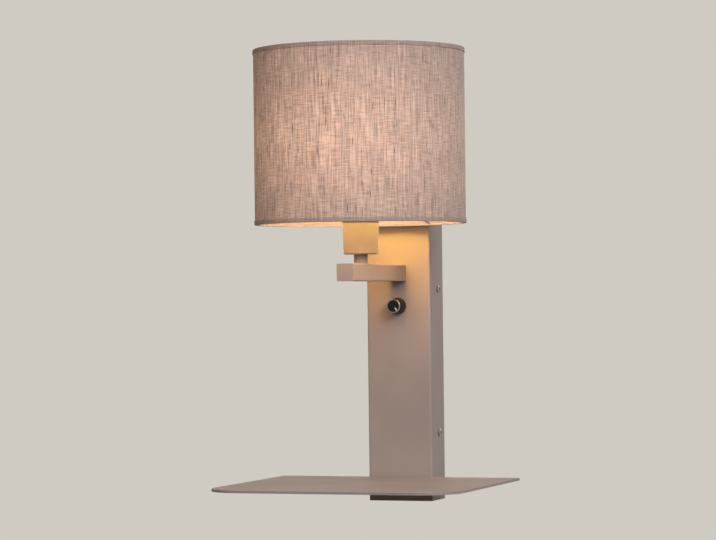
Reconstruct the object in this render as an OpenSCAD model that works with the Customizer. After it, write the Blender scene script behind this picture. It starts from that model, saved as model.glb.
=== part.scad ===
// Wall lamp with a shelf: sheet-metal column, square arm, drum shade, rotary dimmer.
// Millimetres. X runs along the wall, Y into the wall, Z up. The origin lies in the wall plane,
// midway between the two slots of the wall bracket.

/* [Column] */
// Width of the column along the wall
column_w = 72; // [70:1:90]
// Distance from the wall to the column's front face
column_d = 45; // [44:1:60]
// Height of the column
column_h = 302; // [280:1:420]
// Sheet thickness of the column cover
cover_t = 1.2; // [0.8:0.1:2]
// Inside radius of the folded front edges
cover_fold_r = 0.8; // [0.4:0.1:2]

/* [Wall bracket] */
// Sheet thickness of the wall bracket
bracket_t = 1.5; // [1:0.1:2]
// Clearance between the bracket's ears and the cover
bracket_gap = 0.3; // [0.2:0.1:0.6]
// Inside radius of the folded ears
ear_fold_r = 1; // [0.5:0.1:2]
// Height of each ear
ear_h = 24; // [18:1:30]
// Metal of the ear beyond the screw's axis
ear_margin = 8; // [6:0.5:10]
// Distance between the slot centres
slot_spacing = 200; // [180:1:230]
// Width of a slot
slot_w = 5.5; // [4:0.1:7]
// End-to-end length of a slot
slot_l = 14; // [9:0.5:16]
// Metal of the bracket beyond the end of each slot
slot_margin = 11; // [8:0.5:16]
// Depth of the cable entry below the bracket's middle
entry_drop = 70; // [64:1:76]
// Diameter of the cable entry hole in the bracket
entry_d = 20; // [16:0.5:22]
// Bore of the cable grommet
grommet_bore = 9; // [6:0.5:11]
// Width of the grommet's flange round its neck
grommet_lip = 2; // [1:0.1:3]
// Thickness of the grommet's flange
grommet_t = 2; // [1:0.1:3]

/* [Cover screws] */
// Thread diameter of the cover screws
cover_screw_d = 4; // [3:0.5:5]
// Shank length of the cover screws
cover_screw_l = 8; // [6.5:0.5:10]
// Head diameter of the cover screws
cover_screw_head = 8; // [6:0.5:9]
// Distance of the side screws from the column's ends
side_screw_inset = 73; // [60:1:80]
// Distance of the side screws from the wall
side_screw_depth = 18; // [14:1:20]
// Outer diameter of the clinch nuts in the ears
clinch_d = 7; // [6:0.5:8]
// Thickness of the clinch nuts
clinch_t = 3; // [2:0.5:4]

/* [Shelf] */
// Width of the shelf along the wall
shelf_w = 270; // [200:1:400]
// Depth of the shelf in front of the column
shelf_d = 242; // [150:1:300]
// Sheet thickness of the shelf
shelf_t = 2.5; // [1.5:0.1:3]
// Radius of the shelf's front corners
shelf_corner_r = 42; // [10:1:70]
// Radius of the shelf's back corners
shelf_back_r = 3; // [1:0.5:10]
// Height of the shelf's top above the column's bottom end
shelf_rise = 26; // [23:0.5:40]
// Distance of the shelf's tab from the column's sides
tab_inset = 3; // [1:0.5:8]
// Height of the tab, measured from the shelf's top
tab_h = 18; // [16:0.5:20]
// Inside radius of the tab's fold
tab_fold_r = 0.8; // [0.5:0.1:1.5]
// Width of the relief slots beside the tab
relief_w = 1.5; // [1:0.1:3]
// Distance between the two shelf screws
shelf_screw_pitch = 44; // [30:1:46]
// Thread diameter of the shelf screws
shelf_screw_d = 4; // [3:0.5:5]
// Head diameter of the shelf screws
shelf_screw_head = 8; // [6:0.5:9]
// Shank length of the shelf screws
shelf_screw_l = 11; // [8:0.5:14]
// Distance of the shelf's backing plate from the tab's ends
shelf_plate_inset = 3; // [1:0.5:5]
// Height of the backing plate behind the shelf screws
shelf_plate_h = 13; // [10:0.5:14]
// Thickness of the backing plate behind the shelf screws
shelf_plate_t = 3; // [2:0.5:4]

/* [Arm] */
// Side of the square arm tube
arm_side = 18; // [17:0.5:24]
// Wall of the arm tube
arm_t = 1.2; // [0.8:0.1:1.4]
// Outside radius of the arm tube's edges
arm_edge_r = 1; // [0.4:0.1:2]
// Height of the arm's centre line above the column's bottom end
arm_rise = 246.5; // [210:0.5:262]
// Length of the arm beyond the lampholder's axis
arm_overhang = 50; // [20:1:80]
// Thickness of the plate that closes the arm's front end
arm_cap_t = 1.5; // [1:0.1:3]
// Depth of the spigot behind the arm's end plate
arm_spigot_l = 6; // [3:0.5:12]
// Length of the threaded plug in the arm's wall end
arm_plug_l = 24; // [18:1:32]
// Diameter of the locating pin beside the arm's thread
arm_pin_d = 2.5; // [2:0.1:2.6]
// Length of the locating pin
arm_pin_l = 10; // [8:0.5:14]
// Width of the backing plate behind the arm
arm_plate_w = 56; // [40:1:62]
// Height of the backing plate behind the arm
arm_plate_h = 32; // [26:1:36]
// Thickness of the backing plate behind the arm
arm_plate_t = 3; // [2:0.5:4]
// Outer diameter of the arm's washer
arm_washer_d = 18; // [17:0.5:24]
// Thickness of the arm's washer
arm_washer_t = 1.5; // [1:0.1:2]
// Width across the flats of the arm's nut
arm_nut_af = 14; // [13:0.5:15]
// Thickness of the arm's nut
arm_nut_t = 4.5; // [3:0.5:5]

/* [Hollow nipples] */
// Thread diameter of the hollow nipples
nipple_d = 10; // [9.6:0.1:10.4]
// Bore of the hollow nipples
nipple_bore = 7; // [6.4:0.1:7.6]
// Length of the arm nipple inside the plug
nipple_grip = 19; // [12:1:22]
// Length that a nipple stands out of its nut
nipple_tail = 0.8; // [0.2:0.1:2]
// Thickness of the captive nut under the neck
neck_nut_t = 4.5; // [3:0.5:5]
// Side clearance of the captive nut in the arm tube
neck_nut_gap = 0.2; // [0.1:0.1:0.5]

/* [Lampholder] */
// Diameter of the neck spacer
neck_d = 14.6; // [13:0.1:17]
// Height of the neck spacer
neck_h = 10; // [4:0.5:24]
// How much the cup narrows from its top to its bottom
cup_taper = 3; // [0:0.5:4]
// Height of the cup
cup_h = 46; // [42:0.5:60]
// Sheet thickness of the cup
cup_t = 1; // [0.6:0.1:1.2]
// Outside radius of the cup's bottom edge
cup_edge_r = 1.5; // [1.2:0.1:4]
// Clearance between the lampholder's base and the cup
cup_gap = 0.5; // [0.2:0.1:1]
// Depth of the lampholder's deck below the cup's top
deck_drop = 8.5; // [6:0.5:12]
// Thickness of the lampholder's deck
deck_t = 6; // [4:0.5:8]
// Height of the wire clamps under the deck
clamp_h = 6; // [5:0.5:8]
// Length of thread in the lampholder's base
base_thread_l = 10; // [8:0.5:14]
// Diameter of the wiring space in the lampholder's base
base_well_d = 18; // [17:0.5:24]
// Height of the threaded skirt above the cup
skirt_h = 30; // [28:0.5:40]
// Diameter of the threaded skirt, and of the cup's top
skirt_d = 39; // [37:0.1:42]
// Sheet thickness of the screw shell
shell_t = 0.4; // [0.3:0.05:0.6]
// Height of the centre contact above the deck
contact_rise = 6; // [4:0.5:9]

/* [Shade] */
// Outside diameter of the drum shade
shade_d = 220; // [180:1:300]
// Height of the drum shade
shade_h = 182; // [140:1:220]
// Distance between the shade's back and the column's front face
shade_gap = 9.5; // [6:0.5:40]
// Depth of the shade's bottom edge below the cup's top
shade_drop = 14.5; // [8:0.5:17]
// Thickness of the shade's fabric
fabric_t = 0.7; // [0.4:0.1:1]
// Thickness of the shade's liner
liner_t = 0.6; // [0.4:0.1:1]
// Width of the glued overlap seam
seam_w = 10; // [6:0.5:14]
// Place of the seam, turned from the wall side about the shade's axis
seam_turn = 11; // [-30:1:30]
// Width of the folded bands at the shade's edges
band_w = 4.5; // [4:0.5:12]
// Thickness of the folded bands
band_t = 0.5; // [0.3:0.1:0.8]
// Width of the bands where they are turned in
band_turn_in = 7; // [6:0.5:12]
// Diameter of the shade's frame wire
wire_d = 3; // [2:0.1:3.2]
// How much thinner the spokes are than the wire rings they are welded to
spoke_less = 0.4; // [0.2:0.1:0.6]
// Number of spokes in the lower frame
spoke_count = 3; // [3:1:4]
// How far the lower frame is turned about the shade's axis, from a spoke straight out to the front
spoke_turn = 35; // [0:5:60]
// Height of the fitter washer above the shade's bottom edge
fitter_rise = 26; // [22:0.5:30]
// Outer diameter of the fitter washer
fitter_d = 58; // [54:1:64]
// Thickness of the fitter washer
fitter_t = 1.5; // [1:0.1:2]
// Outer diameter of the ring nuts
ring_nut_d = 52; // [48:0.5:54]
// Height of a ring nut
ring_nut_h = 6; // [4:0.5:7]
// Number of grip notches round a ring nut
ring_nut_notches = 20; // [12:1:28]

/* [Bulb] */
// Greatest diameter of the bulb
bulb_d = 60; // [55:0.5:64]
// Length of the bulb from its tip contact to its top
bulb_l = 108; // [104:1:112]
// Diameter of the bulb's screw cap
bulb_cap_d = 26.4; // [26:0.1:26.8]
// Height of the screw cap above the tip contact
bulb_cap_h = 26; // [24:0.5:28]
// Depth of the seam between housing and globe below the globe's centre
bulb_seam_drop = 16; // [8:0.5:22]
// Step from the screw cap to the housing
bulb_step = 0.5; // [0.3:0.05:0.6]
// Wall of the bulb's globe
globe_t = 1; // [0.6:0.1:2]
// Thickness of the board under the globe
board_t = 1.6; // [1:0.1:2]

/* [Dimmer] */
// Gap between the dimmer module and the arm's backing plate
dimmer_gap = 2; // [1:0.5:6]
// Width of the dimmer module
dimmer_w = 44; // [36:1:50]
// Height of the dimmer module
dimmer_h = 35; // [30:1:44]
// Depth of the dimmer module
dimmer_d = 21; // [18:0.5:22]
// Radius of the dimmer module's edges
dimmer_edge_r = 2; // [1:0.5:5]
// Diameter of the threaded dimmer bushing
bushing_d = 10; // [9:0.1:10.5]
// Length of the bushing in front of the column
bushing_l = 6; // [5.5:0.1:7]
// Length of the bushing inside the module
bushing_root = 6; // [4:0.5:8]
// Diameter of the dimmer shaft
shaft_d = 6; // [5:0.1:6.5]
// Length of the shaft beyond the bushing
shaft_l = 9; // [6:0.5:9.5]
// Diameter of the collar that keeps the shaft in the module
collar_d = 9; // [8:0.5:10]
// Thickness of the shaft's collar
collar_t = 1.5; // [1:0.1:2]
// Width across the flats of the dimmer nut
dimmer_nut_af = 12; // [11.5:0.1:12.4]
// Thickness of the dimmer nut
dimmer_nut_t = 2.5; // [2:0.1:3]
// Outer diameter of the dimmer washer
dimmer_washer_d = 14; // [13:0.1:14.4]
// Thickness of the dimmer washer
dimmer_washer_t = 1; // [0.5:0.1:1.5]

/* [Knob] */
// Diameter of the knob at its base
knob_d = 18; // [17.4:0.1:22]
// Diameter of the knob behind its bright ring
knob_front_d = 15.4; // [14.6:0.1:17]
// Length of the knob from its base to its face
knob_l = 17; // [16:0.5:20]
// Clearance between the knob and the column
knob_gap = 0.6; // [0.4:0.1:1]
// Clearance between the knob's recess and the dimmer nut
knob_recess_gap = 0.5; // [0.3:0.1:0.8]
// Diameter of the knob's face inside the bright ring
face_d = 12.8; // [11:0.1:13.4]
// Depth of the bright ring
ring_l = 1.2; // [0.8:0.1:2]
// Width of the pointer
pointer_w = 1; // [0.6:0.1:1.6]
// Depth of the pointer's slot in the face
pointer_t = 0.6; // [0.4:0.1:1]
// Start of the pointer from the knob's axis
pointer_start = 2.4; // [0:0.1:4]
// Angle of the pointer at rest, clockwise from upright
pointer_turn = 140; // [-150:1:150]

/* [Terminal block] */
// Depth of the terminal block below the bracket's middle
block_drop = 30; // [24:1:38]
// Distance between the block's poles
pole_pitch = 12; // [11:0.5:14]
// Length of the block along its bores
block_l = 17; // [14:0.5:20]
// Diameter of the block's barrels
barrel_d = 8.4; // [7.6:0.1:9]
// Diameter of the block's screw towers
tower_d = 6.4; // [5.6:0.1:7]
// Height of the barrels' axis above the bracket
barrel_rise = 6; // [5.5:0.1:7]
// Height of the screw towers above the barrels' axis
tower_rise = 8; // [7:0.5:10]
// Distance of a tower from the block's middle
tower_offset = 4.2; // [3.8:0.1:5]
// Outer diameter of the brass inserts
insert_d = 5; // [4.6:0.1:5.2]
// Bore of the brass inserts
insert_bore = 3; // [2.8:0.1:3.2]
// Diameter of the clamp screws
clamp_d = 2.6; // [2:0.1:2.8]
// Diameter of the block's fixing screws
fixing_d = 2.5; // [2:0.1:2.6]
// Head diameter of the block's fixing screws
fixing_head = 4.6; // [4:0.1:5]

/* [Earth stud] */
// Distance of the earth stud to the side of the bracket's middle
stud_offset = 22; // [20:0.5:24]
// Height of the earth stud above the terminal block's middle
stud_lift = 45; // [40:1:52]
// Thread diameter of the earth stud
stud_d = 4; // [3:0.5:5]
// Length of the earth stud in front of the bracket
stud_l = 9; // [6:0.5:12]
// Width across the flats of the earth nut
stud_nut_af = 7; // [7:0.5:9]
// Thickness of the earth nut
stud_nut_t = 3.2; // [2:0.2:4]
// Thickness of the ring tag
tag_t = 0.8; // [0.5:0.1:1]
// Outer diameter of the ring tag
tag_d = 8.5; // [8:0.1:10]

/* [Wires] */
// Outside diameter of the insulated wires
core_d = 2.2; // [1.8:0.1:2.4]
// Distance between the two wires in the arm
core_pitch = 2.6; // [2.5:0.1:2.8]
// Bend radius of the wires in open space
core_bend = 5; // [3:0.5:8]
// Straight length of wire at a terminal
core_lead = 5; // [4:0.5:7]
// Distance of the dimmer's wires to the side of its middle
tail_offset = 8; // [6:0.5:11]
// Length over which the wires settle onto the arm tube's floor
core_settle = 15; // [12:1:20]
// Depth of the wires below the arm's centre line
core_sag = 3; // [2:0.5:4]
// Distance of the wires behind the arm's nipple
core_turn = 9; // [8:0.5:10]

/* [Fits] */
// Radial clearance in threads
thread_gap = 0.05; // [0.02:0.01:0.1]
// Radial clearance of screws and nipples in plain holes
hole_gap = 0.2; // [0.1:0.05:0.4]
// Side clearance of plugs and spigots in tubes
plug_gap = 0.1; // [0.05:0.05:0.3]
// Radial clearance of the turning shaft
shaft_gap = 0.06; // [0.02:0.01:0.1]
// Clearance between the layers of the shade
layer_gap = 0.1; // [0.05:0.05:0.3]

/* [Hidden] */
$fn = 64;
past = 1;            // how far a cutting shape runs past the face it cuts
round_fn = 32;       // facets of small swept corners

// Paint and material colours
paint = "#9d8b80";
zinc = "#b9bcbf";
brass = "#c9a253";
black = "#1d1b1b";
white = "#efece6";
linen = "#cdb4a2";

// Planes and heights, from the wall and from the column's bottom end
bottom_z = -column_h / 2;
front_y = -column_d;
inside_y = front_y + cover_t;
shelf_z = bottom_z + shelf_rise;
arm_z = bottom_z + arm_rise;
knob_z = arm_z - arm_plate_h / 2 - dimmer_gap - dimmer_h / 2;
entry_z = -entry_drop;
block_z = -block_drop;
stud_z = block_z + stud_lift;
ear_z = column_h / 2 - side_screw_inset;

// Bracket
bracket_h = slot_spacing + slot_l + 2 * slot_margin;
ear_face_x = column_w / 2 - cover_t - bracket_gap;
ear_back_x = ear_face_x - bracket_t;
bracket_half_w = ear_back_x - ear_fold_r;
ear_reach = side_screw_depth + ear_margin;

// Shelf tab
tab_w = column_w - 2 * tab_inset;
shelf_plate_w = tab_w - 2 * shelf_plate_inset;
tab_outer_r = tab_fold_r + shelf_t;
tab_screw_z = shelf_z - tab_outer_r - (tab_h - tab_outer_r) / 2;

// Arm, seen from the column's front face
holder_reach = shade_d / 2 + band_t + shade_gap;
arm_l = holder_reach + arm_overhang;
arm_bore = arm_side - 2 * arm_t;
lamp_y = front_y - holder_reach;
arm_nut_y = inside_y + arm_plate_t + arm_washer_t;
arm_nipple_y = arm_nut_y + arm_nut_t + nipple_tail;
pin_offset = (arm_bore / 2 - plug_gap) * 0.5 + nipple_d * 0.15;

// Lampholder stack
cup_top_d = skirt_d;
cup_bottom_d = cup_top_d - cup_taper;
arm_top_z = arm_z + arm_side / 2;
cup_z = arm_top_z + neck_h;
cup_top_z = cup_z + cup_h;
deck_z = cup_top_z - deck_drop;
base_r = cup_bottom_d / 2 - cup_t - cup_gap;
well_z = cup_z + cup_t + base_thread_l;
skirt_r = skirt_d / 2;
bulb_neck_d = bulb_cap_d + 2 * bulb_step;
shell_gap = bulb_step / 2;
shell_r = bulb_cap_d / 2 + shell_gap;
rivet_x = base_well_d / 2 - 3.5;
tip_z = deck_z + contact_rise;
shell_h = contact_rise + bulb_cap_h - 0.8;

// Shade
shade_r = shade_d / 2;
shade_z = cup_top_z - shade_drop;
fabric_z = shade_z + band_t + layer_gap;
fabric_h = shade_h - 2 * (band_t + layer_gap);
liner_r = shade_r - fabric_t - layer_gap;
wire_r = liner_r - liner_t - layer_gap - wire_d / 2;
wire_inset = band_t + layer_gap + wire_d / 2;
spoke_d = wire_d - spoke_less;
fitter_z = shade_z + fitter_rise;

// Bulb
cap_foot_h = 5;
globe_r = bulb_d / 2;
globe_z = tip_z + bulb_l - globe_r;
seam_z = globe_z - bulb_seam_drop;
seam_r = sqrt(pow(globe_r, 2) - pow(bulb_seam_drop, 2));

// Dimmer and knob
dimmer_back_y = inside_y + dimmer_d;
bushing_y = front_y - bushing_l;
bushing_foot_y = inside_y + bushing_root;
knob_back_y = front_y - knob_gap;
knob_face_y = knob_back_y - knob_l;
knob_recess_r = max(dimmer_washer_d, dimmer_nut_af / cos(30)) / 2 + knob_recess_gap;
shaft_tip_y = bushing_y - shaft_l;

// Terminal block
barrel_y = -(bracket_t + barrel_rise);
block_face_y = barrel_y - tower_rise;
block_foot_t = 3;

// ---- shapes used more than once ----

// Rounded rectangle about the origin
module soft_rect(w, h, r) {
    square([w - 2 * r, h], center = true);
    square([w, h - 2 * r], center = true);
    for (x = [-1, 1], y = [-1, 1])
        translate([x * (w / 2 - r), y * (h / 2 - r)]) circle(r);
}

// Extrudes an X-Z outline from y towards the front
module toward_front(y, length) {
    translate([0, y, 0]) rotate([90, 0, 0]) linear_extrude(length) children();
}

// Rod along Y from y towards the front, about the height z
module front_rod(x, z, y, length, d) {
    translate([x, y, z]) rotate([90, 0, 0]) cylinder(d = d, h = length);
}

// Upright ring about the lamp's axis
module lamp_ring(z, h, outer_r, inner_r) {
    translate([0, lamp_y, z]) difference() {
        cylinder(r = outer_r, h = h);
        translate([0, 0, -past]) cylinder(r = inner_r, h = h + 2 * past);
    }
}

// Screw whose head stands on z = 0, with a cross recess
module cross_screw(d, head_d, length) {
    head_h = head_d * 0.3;
    arm_w = head_d * 0.11;
    difference() {
        union() {
            translate([0, 0, -length]) cylinder(d = d, h = length + head_h / 2);
            cylinder(d = head_d, h = head_h / 2);
            translate([0, 0, head_h / 2]) cylinder(d1 = head_d, d2 = head_d * 0.72, h = head_h / 2);
        }
        for (a = [0, 90])
            rotate(a) translate([-head_d * 0.27, -arm_w / 2, head_h * 0.35])
                cube([head_d * 0.54, arm_w, head_h]);
    }
}

// Hexagon nut standing on z = 0
module hex_nut(af, h, bore) {
    difference() {
        cylinder(d = af / cos(30), h = h, $fn = 6);
        translate([0, 0, -past]) cylinder(d = bore, h = h + 2 * past);
    }
}

// ---- round wires swept along a bent path ----
function unit(v) = v / norm(v);
function bend(a, b, c, r, steps = 4) =
    let (reach = min(r, norm(a - b) / 2, norm(c - b) / 2),
         from = b + unit(a - b) * reach,
         to = b + unit(c - b) * reach)
    [for (i = [0:steps]) let (t = i / steps)
        pow(1 - t, 2) * from + 2 * t * (1 - t) * b + pow(t, 2) * to];
function bent_path(p, r) = concat([p[0]],
    [for (i = [1:len(p) - 2]) each bend(p[i - 1], p[i], p[i + 1], r)], [p[len(p) - 1]]);
function headings(p) = [for (i = [0:len(p) - 1])
    unit(p[min(i + 1, len(p) - 1)] - p[max(i - 1, 0)])];
function side_vectors(t, u, i = 0) = i == len(t) ? [] :
    let (v = unit(u - (u * t[i]) * t[i])) concat([v], side_vectors(t, v, i + 1));

module wire(points, bend_r) {
    sides = 8;
    path = bent_path(points, bend_r);
    t = headings(path);
    u = side_vectors(t, [1, 0.2, 0.1]);
    rings = len(path);
    skin = [for (i = [0:rings - 1], k = [0:sides - 1])
        path[i] + core_d / 2 * (cos(k * 360 / sides) * u[i] + sin(k * 360 / sides) * cross(t[i], u[i]))];
    walls = [for (i = [0:rings - 2], k = [0:sides - 1])
        let (a = i * sides + k, b = i * sides + (k + 1) % sides)
        each [[a, a + sides, b + sides], [a, b + sides, b]]];
    ends = [[for (k = [0:sides - 1]) k],
            [for (k = [sides - 1:-1:0]) (rings - 1) * sides + k]];
    polyhedron(skin, concat(walls, ends), convexity = 6);
}

// ---- wall bracket and what it carries ----

// Folded ear on the right, as an outline to extrude upwards
module ear_outline() {
    fold_y = -(bracket_t + ear_fold_r);
    translate([bracket_half_w - past, -bracket_t]) square([past, bracket_t]);
    translate([bracket_half_w, fold_y]) intersection() {
        difference() {
            circle(ear_fold_r + bracket_t);
            circle(ear_fold_r);
        }
        square(ear_fold_r + bracket_t);
    }
    translate([ear_back_x, -ear_reach]) square([bracket_t, ear_reach + fold_y]);
}

module wall_bracket() color(zinc) difference() {
    union() {
        translate([-bracket_half_w, -bracket_t, -bracket_h / 2])
            cube([2 * bracket_half_w, bracket_t, bracket_h]);
        for (s = [0, 1], z = [-ear_z, ear_z])
            mirror([s, 0, 0]) translate([0, 0, z - ear_h / 2]) linear_extrude(ear_h) ear_outline();
    }
    for (z = [-slot_spacing / 2, slot_spacing / 2]) translate([0, past, z]) toward_front(0, bracket_t + 2 * past) {
        square([slot_w, slot_l - slot_w], center = true);
        for (e = [-1, 1]) translate([0, e * (slot_l - slot_w) / 2]) circle(d = slot_w);
    }
    front_rod(0, entry_z, past, bracket_t + 2 * past, entry_d);
    for (x = [-pole_pitch / 2, pole_pitch / 2])
        front_rod(x, block_z, past, bracket_t + 2 * past, fixing_d + 2 * thread_gap);
    front_rod(stud_offset, stud_z, past, bracket_t + 2 * past, stud_d + 2 * thread_gap);
    for (z = [-ear_z, ear_z]) translate([-column_w, -side_screw_depth, z])
        rotate([0, 90, 0]) cylinder(d = cover_screw_d + 2 * thread_gap, h = 2 * column_w);
}

module clinch_nuts() color(zinc) for (s = [0, 1], z = [-ear_z, ear_z])
    mirror([s, 0, 0]) translate([ear_back_x - clinch_t, -side_screw_depth, z]) rotate([0, 90, 0])
        difference() {
            cylinder(d = clinch_d, h = clinch_t);
            translate([0, 0, -past])
                cylinder(d = cover_screw_d + 2 * thread_gap, h = clinch_t + 2 * past);
        }

module cable_grommet() color(black) translate([0, 0, entry_z]) rotate([90, 0, 0]) difference() {
    union() {
        cylinder(d = entry_d - 2 * plug_gap, h = bracket_t);
        translate([0, 0, bracket_t]) cylinder(d = entry_d + 2 * grommet_lip, h = grommet_t);
    }
    translate([0, 0, -past]) cylinder(d = grommet_bore, h = bracket_t + grommet_t + 2 * past);
}

module each_pole() {
    for (i = [-1:1]) translate([i * pole_pitch, 0, 0]) children();
}

module terminal_block() color(white) difference() {
    union() {
        translate([-pole_pitch - barrel_d / 2, -bracket_t - block_foot_t, block_z - block_l / 2])
            cube([2 * pole_pitch + barrel_d, block_foot_t, block_l]);
        each_pole() {
            translate([0, barrel_y, block_z - block_l / 2]) cylinder(d = barrel_d, h = block_l);
            for (e = [-1, 1])
                front_rod(0, block_z + e * tower_offset, barrel_y, tower_rise, tower_d);
        }
    }
    each_pole() {
        translate([0, barrel_y, block_z - block_l])
            cylinder(d = insert_d + 2 * thread_gap, h = 2 * block_l);
        for (e = [-1, 1])
            front_rod(0, block_z + e * tower_offset, barrel_y, tower_rise + past, clamp_d + 2 * hole_gap);
    }
    for (x = [-pole_pitch / 2, pole_pitch / 2])
        front_rod(x, block_z, 0, tower_rise * 4, fixing_d + 2 * hole_gap);
}

module terminal_inserts() color(brass) each_pole() difference() {
    translate([0, barrel_y, block_z - block_l / 2 + past]) cylinder(d = insert_d, h = block_l - 2 * past);
    translate([0, barrel_y, block_z - block_l]) cylinder(d = insert_bore, h = 2 * block_l);
    for (e = [-1, 1])
        front_rod(0, block_z + e * tower_offset, barrel_y, tower_rise, clamp_d + 2 * thread_gap);
}

module clamp_screws() color(zinc) each_pole() for (e = [-1, 1]) difference() {
    tip = core_d / 2 + thread_gap;
    front_rod(0, block_z + e * tower_offset, barrel_y - tip, tower_rise - 2 * past - tip, clamp_d);
    translate([-clamp_d, block_face_y, block_z + e * tower_offset - 0.25])
        cube([2 * clamp_d, 2 * past + 0.8, 0.5]);
}

module block_screws() color(zinc) for (x = [-pole_pitch / 2, pole_pitch / 2])
    translate([x, -bracket_t - block_foot_t, block_z]) rotate([90, 0, 0])
        cross_screw(fixing_d, min(fixing_head, pole_pitch - barrel_d + 1), block_foot_t + bracket_t - 0.1);

module earth_stud() color(zinc) front_rod(stud_offset, stud_z, 0, bracket_t + stud_l, stud_d);

module earth_tag() color(brass) {
    barrel_w = core_d + 2 * tag_t;
    strip_w = 2 * core_d / 1.5;
    difference() {
        union() {
            front_rod(stud_offset, stud_z, -bracket_t, tag_t, tag_d);
            translate([stud_offset - strip_w / 2, -bracket_t - tag_t, stud_z - tag_d])
                cube([strip_w, tag_t, tag_d]);
        }
        front_rod(stud_offset, stud_z, past, bracket_t + tag_t + 2 * past, stud_d + 2 * hole_gap);
    }
    translate([stud_offset, tag_y, tag_z - core_lead]) difference() {
        cylinder(d = barrel_w, h = core_lead + 3 * tag_t);
        translate([0, 0, -past]) cylinder(d = core_d + 2 * thread_gap, h = core_lead + past);
    }
}

module earth_nut() color(zinc) translate([stud_offset, -bracket_t - tag_t, stud_z]) rotate([90, 0, 0])
    hex_nut(stud_nut_af, stud_nut_t, stud_d + 2 * thread_gap);

// ---- column cover ----

// Plan of a box with rounded front edges and its back on y = back
module fold_outline(w, front, back, r) {
    translate([-w / 2, front + r]) square([w, back - front - r]);
    translate([-w / 2 + r, front]) square([w - 2 * r, back - front]);
    for (s = [-1, 1]) translate([s * (w / 2 - r), front + r]) circle(r);
}

module column_cover() color(paint) difference() {
    translate([0, 0, bottom_z]) linear_extrude(column_h)
        fold_outline(column_w, front_y, 0, cover_fold_r + cover_t);
    translate([0, 0, bottom_z + cover_t]) linear_extrude(column_h - 2 * cover_t)
        fold_outline(column_w - 2 * cover_t, inside_y, past, cover_fold_r);
    for (z = [-ear_z, ear_z]) translate([-column_w, -side_screw_depth, z])
        rotate([0, 90, 0]) cylinder(d = cover_screw_d + 2 * hole_gap, h = 2 * column_w);
    for (x = [-shelf_screw_pitch / 2, shelf_screw_pitch / 2])
        front_rod(x, tab_screw_z, inside_y + past, cover_t + 2 * past, shelf_screw_d + 2 * hole_gap);
    front_rod(0, arm_z, inside_y + past, cover_t + 2 * past, nipple_d + 2 * hole_gap);
    front_rod(pin_offset, arm_z - pin_offset, inside_y + past, cover_t + 2 * past,
              arm_pin_d + 2 * thread_gap);
    front_rod(0, knob_z, inside_y + past, cover_t + 2 * past, bushing_d + 2 * hole_gap);
}

module cover_screws() color(paint) for (s = [-1, 1], z = [-ear_z, ear_z])
    translate([s * column_w / 2, -side_screw_depth, z]) rotate([0, s * 90, 0])
        cross_screw(cover_screw_d, cover_screw_head, cover_screw_l);

// ---- shelf ----

// What rounding takes off a corner; the corner points towards +x, +y
module corner_offcut(r) {
    difference() {
        translate([-r, -r]) square(r + past);
        translate([-r, -r]) circle(r);
    }
}

module shelf_plate() {
    difference() {
        translate([-shelf_w / 2, front_y - shelf_d]) square([shelf_w, shelf_d]);
        for (s = [0, 1]) mirror([s, 0]) {
            translate([shelf_w / 2, front_y]) corner_offcut(shelf_back_r);
            translate([shelf_w / 2, front_y - shelf_d]) mirror([0, 1]) corner_offcut(shelf_corner_r);
            translate([tab_w / 2, front_y - tab_outer_r - relief_w])
                square([relief_w, tab_outer_r + relief_w + past]);
        }
        translate([-tab_w / 2 - past / 2, front_y - tab_outer_r]) square([tab_w + past, tab_outer_r + past]);
    }
}

// Section through the folded tab, in the Y-Z plane
module tab_section() {
    translate([front_y - tab_outer_r, shelf_z - tab_outer_r]) intersection() {
        difference() {
            circle(tab_outer_r);
            circle(tab_fold_r);
        }
        square(tab_outer_r);
    }
    translate([front_y - shelf_t, shelf_z - tab_h]) square([shelf_t, tab_h - tab_outer_r]);
    translate([front_y - 2 * tab_outer_r, shelf_z - shelf_t]) square([tab_outer_r, shelf_t]);
}

module shelf() color(paint) difference() {
    union() {
        translate([0, 0, shelf_z - shelf_t]) linear_extrude(shelf_t) shelf_plate();
        rotate([90, 0, 90]) linear_extrude(tab_w, center = true) tab_section();
    }
    for (x = [-shelf_screw_pitch / 2, shelf_screw_pitch / 2])
        front_rod(x, tab_screw_z, front_y + past, shelf_t + 2 * past, shelf_screw_d + 2 * hole_gap);
}

module shelf_screws() color(zinc) for (x = [-shelf_screw_pitch / 2, shelf_screw_pitch / 2])
    translate([x, front_y - shelf_t, tab_screw_z]) rotate([90, 0, 0])
        cross_screw(shelf_screw_d, shelf_screw_head, shelf_screw_l);

module shelf_backing_plate() color(zinc) difference() {
    translate([0, 0, tab_screw_z])
        toward_front(inside_y + shelf_plate_t, shelf_plate_t) soft_rect(shelf_plate_w, shelf_plate_h, 2);
    for (x = [-shelf_screw_pitch / 2, shelf_screw_pitch / 2])
        front_rod(x, tab_screw_z, inside_y + shelf_plate_t + past, shelf_plate_t + 2 * past,
                  shelf_screw_d + 2 * thread_gap);
}

// ---- arm ----

module arm_tube() color(paint) difference() {
    translate([0, 0, arm_z]) toward_front(front_y, arm_l - arm_cap_t) difference() {
        soft_rect(arm_side, arm_side, arm_edge_r);
        square(arm_bore, center = true);
    }
    translate([0, lamp_y, arm_z]) cylinder(d = nipple_d + 2 * hole_gap, h = arm_side);
}

module arm_end_cap() color(paint) translate([0, 0, arm_z]) {
    toward_front(front_y - arm_l + arm_cap_t, arm_cap_t) soft_rect(arm_side, arm_side, arm_edge_r);
    toward_front(front_y - arm_l + arm_cap_t + arm_spigot_l, arm_spigot_l)
        square(arm_bore - 2 * plug_gap, center = true);
}

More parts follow.
